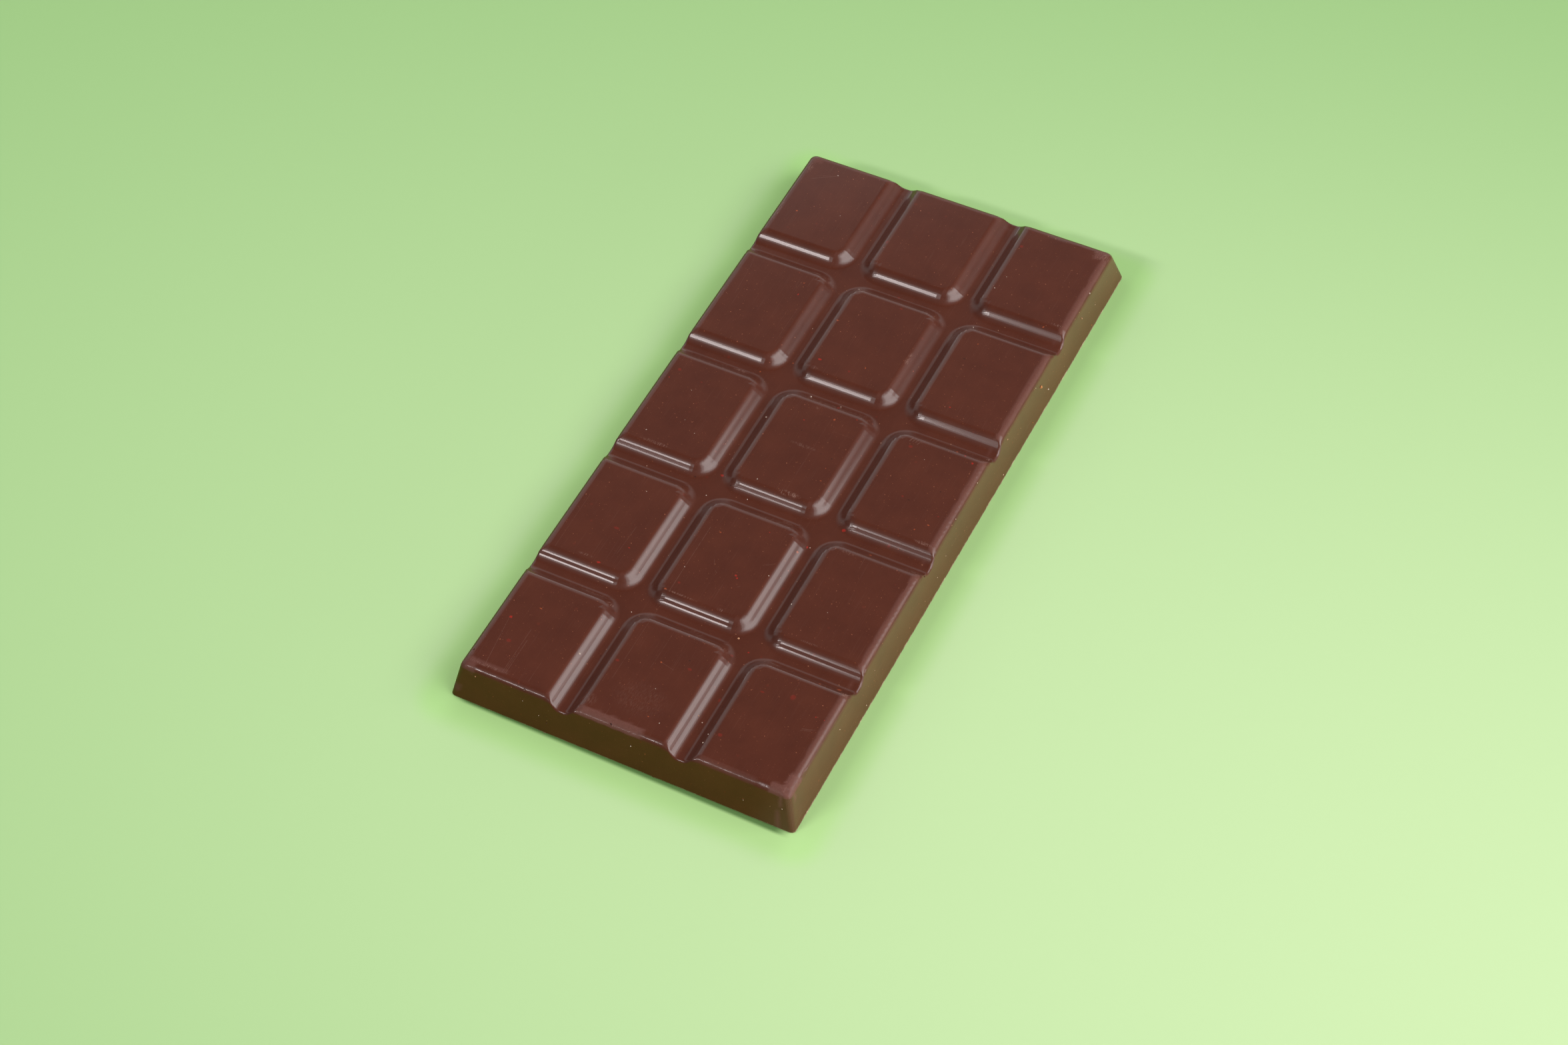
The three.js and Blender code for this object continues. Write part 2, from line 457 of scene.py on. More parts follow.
def makeBar():
    cellsX, cellsY = sum(bar["netAcross"]), sum(bar["netAlong"])
    levels = bar["rimSteps"] + bar["wallSteps"] + bar["baseSteps"]
    startFresh()
    # a flat square net, its border drawn down level by level and closed below, to be pressed into shape
    bpy.ops.mesh.primitive_grid_add(x_subdivisions=cellsX, y_subdivisions=cellsY, size=1)
    piece = bpy.context.object
    piece.name = piece.data.name = "chocolateBar"
    bpy.ops.object.mode_set(mode="EDIT")
    bpy.ops.mesh.select_all(action="SELECT")
    bpy.ops.mesh.region_to_loop()
    for _ in range(levels):
        bpy.ops.mesh.extrude_edges_move(TRANSFORM_OT_translate={"value": (0, 0, -1)})
    bpy.ops.mesh.edge_face_add()
    bpy.ops.object.mode_set(mode="OBJECT")

    # a closer net along the front and right rims and round each pinhole
    net = readPoints(piece)
    middle, counts = faceCentres(piece, pressNet(net))
    level = -faceCentres(piece, net)[0][:, 2]
    onRim = (level > 0) & (level < bar["rimSteps"])
    atFront = middle[:, 1] < -bar["halfLength"] + wear["fineRim"]
    atRight = middle[:, 0] > bar["halfWidth"] - wear["fineRim"]
    cutFiner(piece, onRim & (atFront | atRight) & (counts == 4), 1)
    for reach, cuts in wear["pinholeNet"]:
        middle, counts = faceCentres(piece, pressNet(readPoints(piece)))
        near = np.zeros(len(middle), dtype=bool)
        for side, along, way, *_ in wear["pinholes"]:
            near |= np.linalg.norm(middle - edgePlace(side, along, way), axis=1) < reach
        cutFiner(piece, near & (counts == 4), cuts)
    net = readPoints(piece)
    level = -net[:, 2]
    points = pressNet(net)
    writePoints(piece, points)

    bpy.ops.object.mode_set(mode="EDIT")
    bpy.ops.mesh.select_all(action="SELECT")
    bpy.ops.mesh.normals_make_consistent(inside=False)
    bpy.ops.object.mode_set(mode="OBJECT")
    normals = readPoints(piece, "normal")
    sink, rubbed = wearAway(points, level)
    points -= normals * sink[:, None]
    points[:, 2] = np.clip(points[:, 2], 0, bar["height"])
    writePoints(piece, points)
    # the finish reads the shares of rubbed skin, of slope that faces back and of lip at the foot
    facesBack = smooth((normals[:, 1] - wear["dragFacing"]) / wear["dragFade"])
    onTop = (level < 0.5) & (np.abs(points[:, 1]) < bar["halfLength"] - wear["dragMargin"])
    storeShare(piece, "rubbed", rubbed)
    storeShare(piece, "dragged", facesBack * onTop)
    storeShare(piece, "flash", flashAt(points[:, 0], points[:, 1]))
    bpy.ops.object.shade_smooth_by_angle(angle=math.radians(bar["smoothAngle"]))
    return piece


barPiece = makeBar()
print("bar pressed:", len(barPiece.data.polygons), "faces")


chocolate = {
    "paler": (0.092, 0.0192, 0.0076),  # soft cloudy patches
    "darker": (0.072, 0.0136, 0.0049),
    "rubbedAndSheenColour": (0.165, 0.066, 0.052),
    "scuffColour": (0.30, 0.17, 0.135),
    "footColour": (0.52, 0.36, 0.27),
    "roughness": 0.5,
    "rubbedRoughness": 0.62,
    "specular": 0.29,
    "coat": 0.54,
    "coatRoughness": 0.115,
    "ior": 1.5,
    "grainHeight": 0.007 * mm,
    "rubbedGrain": 3.0,  # how much coarser the grain is where the skin is rubbed
    # noises in millimetres: scale, detail, roughness, then the values between which the pattern comes in
    "patterns": {
        "clouds": (0.16, 5.0, 0.6, 0.3, 0.7),
        "grain": (3.4, 4.0, 0.75, 0.35, 0.8),
        "brushing": (1.0, 2.0, 0.5, 0.62, 0.78),
        "hatching": (1.0, 3.0, 0.7, 0.47, 0.68),
        "streaks": (1.0, 3.0, 0.7, 0.52, 0.74),
        "patches": (0.13, 1.0, 0.5, 0.5, 0.66),
        "mottle": (2.2, 4.0, 0.7, 0.35, 0.62),
        "crumble": (0.75, 5.0, 0.8, 0.42, 0.6),
    },
    "tremble": (2.6, 2.0, 0.5),  # noise that makes the outlines of specks and scuffs uneven
    "wobble": 0.28,  # by up to about this many millimetres
    "hairlineBreaks": (0.35, 0.55, 0.12, 0.52),  # trembling from and to, strength from and to
    "grainStrength": 0.4,
    "brushStrength": 0.09,
    "dragStrength": 0.4,
    "rubbedLeast": 0.75,
    "rubbedStrength": 0.75,
    "footTop": (0.44, 0.34),  # heights between which the pale foot begins
    "footLeast": 0.5,
    "crumbleShares": (0.15, 0.95),
    "paleDullness": 0.8,  # how much gloss the pale marks lose
    # stretching of the brushing, of the scuffs' hatching, which slants, and of the dragged streaks
    "brushStretch": (9.0, 0.12, 6.0),
    "hatchStretch": (5.5, 1.3, 1.3),
    "hatchSlant": 0.35,
    "dragStretch": (3.2, 0.7, 0.7),
    # dots scattered all over: spacing, radius, share that shows, first and second colour, strength
    "dots": (
        (0.6, 0.1, 0.9, (0.018, 0.005, 0.002), (0.28, 0.085, 0.034), 0.8),
        (1.1, 0.14, 0.6, (0.32, 0.034, 0.014), (0.42, 0.20, 0.11), 0.8),
        (3.2, 0.42, 0.75, (0.20, 0.015, 0.007), (0.16, 0.030, 0.012), 0.28),
    ),
    "specks": {
        # colour and how strongly it covers, then x, y, half width and half length in millimetres
        "red": ((0.40, 0.017, 0.009), 0.72, (
            (-21.7, -40.7, 0.42, 0.24), (2.7, -32.6, 0.27, 0.24), (3.15, -33.05, 0.2, 0.17),
            (-30.1, -58.6, 0.32, 0.28), (-6.9, 21.4, 0.42, 0.25), (21.1, 21.0, 0.18, 0.18),
            (-11.4, -11.2, 0.36, 0.3), (15.3, -13.4, 0.45, 0.3), (10.9, -19.8, 0.22, 0.3),
            (28.8, 11.4, 0.22, 0.2), (30.8, 10.2, 0.24, 0.24), (-31.3, 4.9, 0.15, 0.15),
            (-2.8, 6.3, 0.12, 0.14), (12.1, -45.9, 0.22, 0.16), (30.1, -54.6, 0.13, 0.16),
            (31.8, -54.6, 0.13, 0.13), (-18.2, -35.3, 0.22, 0.13), (-18.4, 34.9, 0.14, 0.28),
            (1.5, 12.5, 0.2, 0.6), (3.7, -20.9, 0.12, 0.12), (-20.4, -17.6, 0.12, 0.15),
            (6.4, 10.6, 0.1, 0.12),
        )),
        "dim": ((0.22, 0.016, 0.008), 0.5, (
            (24.5, -52.5, 0.55, 0.65), (18.5, 9.0, 0.5, 0.33), (-30.4, 7.5, 0.4, 0.4),
            (24.6, -13.3, 0.3, 0.3), (9.8, -48.0, 0.35, 0.25), (19.0, -53.8, 0.5, 0.2),
            (16.5, -65.3, 0.5, 0.4), (12.2, -57.5, 0.25, 0.5), (-27.8, -63.4, 0.5, 0.4),
            (5.0, -55.0, 0.45, 0.3), (-8.7, 55.2, 0.3, 0.5), (1.7, 40.0, 0.35, 0.2), (-0.8, 44.1, 0.4, 0.2),
            (16.2, 65.4, 0.4, 0.4), (-0.4, 21.0, 0.3, 0.25), (-7.8, -58.8, 0.4, 0.3),
            (30.4, -4.2, 0.25, 0.2), (22.3, -2.6, 0.25, 0.2), (-25.0, 6.4, 0.2, 0.15),
            (-22.6, -32.2, 0.6, 0.3), (-6.0, -38.5, 0.3, 0.25),
        )),
        "orange": ((0.42, 0.085, 0.026), 0.65, (
            (-16.8, 15.1, 0.18, 0.18), (-12.0, 19.8, 0.2, 0.18), (2.1, 23.1, 0.12, 0.2),
            (26.9, 11.8, 0.22, 0.3), (10.0, -22.0, 0.2, 0.3), (2.5, 8.8, 0.22, 0.25),
            (29.6, -6.8, 0.25, 0.13), (27.7, -8.8, 0.18, 0.13), (6.8, -5.85, 0.2, 0.11),
            (-7.6, -40.8, 0.28, 0.16), (-0.4, -55.8, 0.22, 0.16), (3.1, -67.3, 0.18, 0.12),
            (-29.0, 55.3, 0.22, 0.18), (-18.7, 38.1, 0.17, 0.15), (19.2, 38.0, 0.12, 0.18),
            (-8.3, 32.0, 0.28, 0.18), (28.8, 47.7, 0.2, 0.14), (22.5, -16.8, 0.3, 0.3),
            (30.8, -46.7, 0.5, 0.35), (-26.1, -54.6, 0.35, 0.12), (6.3, -2.65, 0.12, 0.1),
            (9.0, -43.9, 0.2, 0.13), (27.3, -47.4, 0.22, 0.2), (-4.6, -24.8, 0.25, 0.15),
        )),
        "pale": ((0.62, 0.50, 0.42), 0.8, (
            (5.6, -67.7, 0.12, 0.12), (-25.8, 3.8, 0.08, 0.08), (-23.5, -3.4, 0.07, 0.07),
            (-20.2, -5.6, 0.1, 0.1), (-29.0, -8.7, 0.13, 0.1), (-4.2, -10.5, 0.13, 0.15),
            (-20.4, 57.7, 0.08, 0.08), (16.0, 52.9, 0.12, 0.09), (-25.8, 67.7, 0.13, 0.1),
            (22.2, 7.2, 0.08, 0.08), (-21.7, -22.1, 0.1, 0.08), (16.9, 56.6, 0.1, 0.08),
            (-6.8, -34.8, 0.12, 0.1), (8.2, -30.0, 0.1, 0.08), (21.7, -33.0, 0.1, 0.08),
            (1.4, -61.4, 0.08, 0.08),
        )),
        "dark": ((0.012, 0.004, 0.002), 0.8, (
            (6.3, -0.15, 0.16, 0.14), (23.7, -2.9, 0.25, 0.1), (-15.9, -13.7, 0.2, 0.12),
            (-8.7, -12.9, 0.14, 0.12), (18.4, 33.4, 0.3, 0.1), (4.1, -53.3, 0.16, 0.14),
            (28.3, 1.4, 0.12, 0.12), (-11.8, -58.1, 0.14, 0.16), (3.9, 0.1, 0.12, 0.1),
            (-2.1, 3.8, 0.1, 0.08),
        )),
    },
    "speckHeight": 3.0,  # specks and scuffs reach this far up and down from their own level
    "scuffHeight": 3.5,
    "speckLevel": 7.6,
    "hairlineLevel": 8.3,
    # hairlines: from x, y to x, y, width in millimetres and strength
    "scratches": (
        (-6.8, -24.5, -6.75, -41.0, 0.07, 0.5), (-19.35, -30.4, -19.6, -37.4, 0.06, 0.4),
        (-31.0, -27.0, -30.9, -40.8, 0.05, 0.4), (-25.3, -59.5, -25.3, -70.0, 0.07, 0.45),
        (-24.75, -62.0, -24.65, -70.0, 0.1, 0.4), (-25.0, -66.0, -25.0, -70.2, 0.08, 0.35),
        (-30.3, -58.8, -29.0, -69.8, 0.06, 0.55), (-20.0, -65.0, -20.0, -69.8, 0.06, 0.35),
        (-6.7, -48.6, -6.75, -62.6, 0.06, 0.35), (-1.5, -49.0, -1.6, -57.8, 0.05, 0.3),
        (24.1, -48.5, 24.15, -52.3, 0.05, 0.3), (29.0, -57.9, 31.2, -57.2, 0.1, 0.45),
        (28.9, -58.3, 30.6, -57.7, 0.08, 0.4), (6.2, -28.3, 7.0, -27.6, 0.08, 0.45),
        (6.7, -28.1, 7.9, -27.2, 0.07, 0.4), (-2.6, -31.0, -2.0, -32.1, 0.09, 0.35),
        (-1.2, -33.2, -0.8, -33.6, 0.09, 0.3), (4.2, -34.8, 4.6, -34.4, 0.1, 0.4),
        (-0.4, -55.8, 2.4, -56.4, 0.07, 0.35), (1.9, 9.4, 1.85, -11.0, 0.04, 0.25),
        (3.5, 6.1, 7.8, 6.0, 0.06, 0.2), (-30.4, 64.7, -26.1, 67.4, 0.1, 0.45),
        (-29.7, 65.8, -27.2, 67.2, 0.07, 0.3), (-2.7, 47.7, 6.6, 48.6, 0.06, 0.5),
        (17.7, 10.2, 18.2, 11.6, 0.11, 0.85), (18.3, 10.2, 18.8, 11.5, 0.1, 0.75),
        (18.9, 10.3, 19.3, 11.4, 0.1, 0.7), (19.4, 10.0, 20.1, 11.5, 0.1, 0.65),
        (20.0, 10.6, 20.5, 11.3, 0.09, 0.5), (-30.6, 39.5, -29.9, 30.0, 0.05, 0.3),
        (-17.6, 40.6, -17.65, 37.5, 0.07, 0.3), (-16.8, 31.5, -16.9, 22.0, 0.06, 0.3),
        (22.4, -18.9, 22.45, -21.3, 0.09, 0.25), (28.8, -11.0, 32.2, -11.6, 0.12, 0.5),
    ),
    # pale scuffs of fine hatching: x, y, half width, half length, strength
    "scuffs": (
        (2.8, -11.1, 2.3, 0.65, 0.75), (-25.8, -10.8, 3.3, 0.4, 0.55), (30.6, -11.1, 1.9, 0.4, 0.5),
        (-24.8, -40.1, 1.6, 0.3, 0.45), (-4.6, -40.9, 3.6, 0.22, 0.6), (3.8, -40.8, 0.8, 0.35, 0.6),
        (21.8, -40.6, 1.7, 0.25, 0.45), (31.0, 49.0, 1.1, 0.3, 0.9), (-28.3, -70.0, 4.2, 0.35, 0.6),
        (0.0, 0.5, 3.2, 0.45, 0.3), (-18.1, 42.3, 1.0, 0.5, 0.75), (-8.2, 41.9, 1.4, 1.5, 0.7),
        (15.9, 41.8, 0.5, 0.8, 0.7), (-20.0, 13.6, 1.9, 0.45, 0.7), (-4.9, 13.4, 0.45, 0.4, 1.0),
        (1.5, 13.5, 0.2, 0.4, 1.0), (-9.7, 37.8, 0.7, 1.7, 0.5), (13.6, 38.6, 0.5, 2.2, 0.4),
        (17.0, -46.6, 2.2, 0.3, 0.6), (-19.5, -46.5, 3.2, 0.28, 0.55), (-15.6, -47.5, 0.8, 0.6, 0.6),
        (32.3, -47.9, 0.9, 0.5, 1.0), (-8.5, -68.5, 1.8, 1.4, 0.25), (0.0, -64.5, 5.5, 3.8, 0.12),
        (32.0, -17.2, 1.5, 0.6, 0.5), (32.6, 13.6, 0.5, 0.6, 1.0), (8.6, 29.0, 0.5, 1.6, 0.5),
        (-1.7, 10.15, 0.42, 0.42, 0.35), (19.0, -19.0, 1.5, 0.5, 0.3), (31.5, 69.6, 1.8, 1.2, 0.6),
        (-32.5, 54.0, 0.4, 3.0, 0.6), (-32.0, 68.0, 0.7, 2.2, 0.5), (-6.8, 19.0, 0.8, 0.5, 0.4),
    ),
}


def connect(tree, value, socket):
    # feeds a socket from another one, or sets its value
    if isinstance(value, bpy.types.NodeSocket):
        tree.links.new(value, socket)
    else:
        socket.default_value = (*value, 1) if socket.type == "RGBA" else value


def addNode(tree, kind, inputs=None, **settings):
    # its inputs are given as values or as the sockets that feed them
    node = tree.nodes.new(kind)
    for name, value in settings.items():
        setattr(node, name, value)
    for name, value in (inputs or {}).items():
        connect(tree, value, node.inputs[name])
    return node


def maths(tree, operation, *values, **settings):
    node = addNode(tree, "ShaderNodeMath", dict(enumerate(values)), operation=operation, **settings)
    return node.outputs[0]


def vectors(tree, operation, *values):
    node = addNode(tree, "ShaderNodeVectorMath", dict(enumerate(values)), operation=operation)
    return node.outputs["Value" if operation in ("LENGTH", "DOT_PRODUCT") else "Vector"]


def product(tree, a, b):
    return maths(tree, "MULTIPLY", a, b)


def ramp(tree, value, low, high, toLow=0.0, toHigh=1.0, **settings):
    # goes from toLow to toHigh while the value goes from low to high
    inputs = {"Value": value, "From Min": low, "From Max": high, "To Min": toLow, "To Max": toHigh}
    return addNode(tree, "ShaderNodeMapRange", inputs, **settings).outputs[0]


def stretched(tree, vector, scale, slant=0.0):
    inputs = {"Vector": vector, "Scale": scale, "Rotation": (0, 0, slant)}
    return addNode(tree, "ShaderNodeMapping", inputs).outputs[0]


def noise(tree, vector, scale, detail, roughness):
    inputs = {"Vector": vector, "Scale": scale, "Detail": detail, "Roughness": roughness}
    return addNode(tree, "ShaderNodeTexNoise", inputs).outputs


def pattern(tree, vector, name, least=0.0, most=1.0):
    # one of the chocolate's patterns: the plain noise, and how strongly it comes in
    *settings, low, high = chocolate["patterns"][name]
    plain = noise(tree, vector, *settings)[0]
    return plain, ramp(tree, plain, low, high, least, most)


def attribute(tree, name):
    return addNode(tree, "ShaderNodeAttribute", attribute_name=name).outputs["Fac"]


def blend(tree, base, over, share, mode="MIX"):
    mix = addNode(tree, "ShaderNodeMix", data_type="RGBA", blend_type=mode)
    for name, value in (("A", base), ("B", over), ("Factor", share)):
        connect(tree, value, next(s for s in mix.inputs if s.name == name and s.enabled))
    return next(s for s in mix.outputs if s.enabled)


def strongest(tree, masks):
    # the largest of several masks, each compared as soon as it is made, so that few wait at a time
    total = 0.0
    for mask in masks:
        total = maths(tree, "MAXIMUM", total, mask)
    return total


def newMaterial(name):
    material = bpy.data.materials.new(name)
    material.use_nodes = True
    return material, material.node_tree, material.node_tree.nodes["Principled BSDF"]


def newGroup(name, inputs, outputs):
    group = bpy.data.node_groups.new(name, "ShaderNodeTree")
    for socket, kind in inputs.items():
        group.interface.new_socket(socket, in_out="INPUT", socket_type="NodeSocket" + kind)
    for socket, kind in outputs.items():
        group.interface.new_socket(socket, in_out="OUTPUT", socket_type="NodeSocket" + kind)
    return group, addNode(group, "NodeGroupInput").outputs, addNode(group, "NodeGroupOutput").inputs


def makeSpeckGroup():
    # a soft oval: whole to six tenths of the way out, gone just past its edge
    inputs = {"Vector": "Vector", "Place": "Vector", "Size": "Vector"}
    group, given, made = newGroup("speck", inputs, {"Mask": "Float"})
    away = vectors(group, "SUBTRACT", given["Vector"], given["Place"])
    reach = vectors(group, "LENGTH", vectors(group, "DIVIDE", away, given["Size"]))
    fade = maths(group, "MULTIPLY_ADD", reach, -1.8, 2.07)
    connect(group, maths(group, "MINIMUM", fade, 1.0), made["Mask"])
    return group


def makeScratchGroup():
    # a hairline between two points
    inputs = {"Vector": "Vector", "Start": "Vector", "Along": "Vector", "Width": "Float", "Strength": "Float"}
    group, given, made = newGroup("hairline", inputs, {"Mask": "Float"})
    along = given["Along"]
    away = vectors(group, "SUBTRACT", given["Vector"], given["Start"])
    reached = vectors(group, "DOT_PRODUCT", away, along)
    share = maths(group, "DIVIDE", reached, vectors(group, "DOT_PRODUCT", along, along))
    share = maths(group, "MINIMUM", maths(group, "MAXIMUM", share, 0.0), 1.0)
    foot = addNode(group, "ShaderNodeVectorMath", {0: along, "Scale": share}, operation="SCALE").outputs[0]
    away = vectors(group, "LENGTH", vectors(group, "SUBTRACT", away, foot))
    left = maths(group, "SUBTRACT", 1.0, maths(group, "DIVIDE", away, given["Width"]))
    connect(group, product(group, left, given["Strength"]), made["Mask"])
    return group


def makeDotsGroup():
    # soft dots scattered all over, from about a third of the radius to all of it, of which only a share shows
    inputs = {"Vector": "Vector", "Spacing": "Float", "Radius": "Float", "Share": "Float"}
    group, given, made = newGroup("scatteredDots", inputs, {"Mask": "Float", "Chance": "Float"})
    scale = maths(group, "DIVIDE", 1.0, given["Spacing"])
    cells = addNode(group, "ShaderNodeTexVoronoi", {"Vector": given["Vector"], "Scale": scale}).outputs
    chances = addNode(group, "ShaderNodeSeparateColor", {"Color": cells["Color"]}).outputs
    size = maths(group, "DIVIDE", given["Radius"], given["Spacing"])
    reach = product(group, size, ramp(group, chances["Green"], 0.0, 1.0, 0.35, 1.0))
    dot = ramp(group, cells["Distance"], reach, 0.0, 0.0, 1.6)
    shown = maths(group, "LESS_THAN", chances["Red"], given["Share"])
    connect(group, maths(group, "MULTIPLY", dot, shown, use_clamp=True), made["Mask"])
    connect(group, chances["Blue"], made["Chance"])
    return group


def ovalMasks(tree, group, vector, ovals, height):
    # one soft oval for each x, y, half width, half length and, where given, strength
    for x, y, halfWidth, halfLength, *strength in ovals:
        inputs = {"Vector": vector, "Place": (x, y, chocolate["speckLevel"]),
                  "Size": (halfWidth, halfLength, height)}
        mask = addNode(tree, "ShaderNodeGroup", inputs, node_tree=group).outputs["Mask"]
        yield product(tree, mask, strength[0]) if strength else mask


def hairlineMasks(tree, group, vector, lines):
    for fromX, fromY, toX, toY, width, strength in lines:
        inputs = {"Vector": vector, "Start": (fromX, fromY, chocolate["hairlineLevel"]),
                  "Along": (toX - fromX, toY - fromY, 0), "Width": width, "Strength": strength}
        yield addNode(tree, "ShaderNodeGroup", inputs, node_tree=group).outputs["Mask"]


def makeChocolate():
    material, tree, shader = newMaterial("darkChocolate")
    speckGroup, scratchGroup, dotsGroup = makeSpeckGroup(), makeScratchGroup(), makeDotsGroup()

    # all patterns are laid out in millimetres
    where = addNode(tree, "ShaderNodeTexCoord").outputs["Object"]
    spot = stretched(tree, where, (1 / mm, 1 / mm, 1 / mm))
    tremble = noise(tree, spot, *chocolate["tremble"])
    shift = vectors(tree, "SUBTRACT", tremble["Color"], (0.5, 0.5, 0.5))
    wobbly = vectors(tree, "MULTIPLY_ADD", shift, (chocolate["wobble"],) * 3, spot)

    # cloudy colour, then a fine grain
    _, clouds = pattern(tree, spot, "clouds")
    colour = blend(tree, chocolate["darker"], chocolate["paler"], clouds)
    grain, grainShare = pattern(tree, spot, "grain", most=chocolate["grainStrength"])
    colour = blend(tree, colour, chocolate["paler"], grainShare)

    # fine dots of milk, cocoa and shell, then a few larger soft ones
    for spacing, radius, share, first, second, strength in chocolate["dots"]:
        inputs = {"Vector": wobbly, "Spacing": spacing, "Radius": radius, "Share": share}
        dots = addNode(tree, "ShaderNodeGroup", inputs, node_tree=dotsGroup).outputs
        tint = blend(tree, first, second, dots["Chance"])
        colour = blend(tree, colour, tint, product(tree, dots["Mask"], strength))

    # the larger specks have places of their own
    for tint, strength, ovals in chocolate["specks"].values():
        masks = ovalMasks(tree, speckGroup, wobbly, ovals, chocolate["speckHeight"])
        colour = blend(tree, colour, tint, product(tree, strongest(tree, masks), strength))

    # hairlines, broken here and there
    breaks = ramp(tree, tremble[0], *chocolate["hairlineBreaks"])
    masks = hairlineMasks(tree, scratchGroup, spot, chocolate["scratches"])
    hairlines = product(tree, strongest(tree, masks), breaks)

    # a faint brushing of very fine marks that run the length of the bar
    drawn = stretched(tree, spot, chocolate["brushStretch"])
    _, brushed = pattern(tree, drawn, "brushing", most=chocolate["brushStrength"])

    # scuffs of slanting hatching
    slanting = stretched(tree, spot, chocolate["hatchStretch"], chocolate["hatchSlant"])
    _, hatched = pattern(tree, slanting, "hatching")
    masks = ovalMasks(tree, speckGroup, wobbly, chocolate["scuffs"], chocolate["scuffHeight"])
    scuffs = product(tree, strongest(tree, masks), hatched)

    # slopes that face the back were dragged along the mould in places
    dragged = attribute(tree, "dragged")
    upright = stretched(tree, spot, chocolate["dragStretch"])
    _, streaks = pattern(tree, upright, "streaks")
    _, patches = pattern(tree, spot, "patches", most=chocolate["dragStrength"])
    drags = product(tree, product(tree, dragged, streaks), patches)
    pale = strongest(tree, [hairlines, scuffs, drags, brushed])
    colour = blend(tree, colour, chocolate["scuffColour"], pale)

    # rubbed rims are matte and greyer; their paler colour also paints part of the soft sheen along the rims
    rubbed = attribute(tree, "rubbed")
    mottle, uneven = pattern(tree, spot, "mottle", least=chocolate["rubbedLeast"])
    wornAndSheen = product(tree, rubbed, uneven)
    colour = blend(tree, colour, chocolate["rubbedAndSheenColour"], product(tree, wornAndSheen, chocolate["rubbedStrength"]))

    # the broken foot is pale and crumbly, most of all where a lip was left
    height = addNode(tree, "ShaderNodeSeparateXYZ", {"Vector": spot}).outputs["Z"]
    low = ramp(tree, height, *chocolate["footTop"])
    lips = attribute(tree, "flash")
    lips = maths(tree, "MULTIPLY_ADD", lips, 1 - chocolate["footLeast"], chocolate["footLeast"])
    _, crumbly = pattern(tree, spot, "crumble", *chocolate["crumbleShares"])
    foot = product(tree, product(tree, low, lips), crumbly)
    colour = blend(tree, colour, chocolate["footColour"], foot)
    connect(tree, colour, shader.inputs["Base Color"])

    # wear of every kind takes the gloss away
    dull = strongest(tree, [wornAndSheen, foot, product(tree, pale, chocolate["paleDullness"])])
    rough = ramp(tree, dull, 0.0, 1.0, chocolate["roughness"], chocolate["rubbedRoughness"])
    connect(tree, rough, shader.inputs["Roughness"])
    connect(tree, ramp(tree, dull, 0.0, 1.0, chocolate["coat"], 0.0), shader.inputs["Coat Weight"])

    # a fine grain, coarser where the skin is rubbed
    relief = maths(tree, "MULTIPLY_ADD", product(tree, wornAndSheen, mottle), chocolate["rubbedGrain"], grain)
    inputs = {"Height": relief, "Strength": 1.0, "Distance": chocolate["grainHeight"]}
    connect(tree, addNode(tree, "ShaderNodeBump", inputs).outputs["Normal"], shader.inputs["Normal"])

    shader.inputs["IOR"].default_value = chocolate["ior"]
    shader.inputs["Specular IOR Level"].default_value = chocolate["specular"]
    shader.inputs["Coat Roughness"].default_value = chocolate["coatRoughness"]
    return material


barPiece.data.materials.clear()
barPiece.data.materials.append(makeChocolate())
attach(barPiece, "root")
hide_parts("bar")
print("chocolate finished")


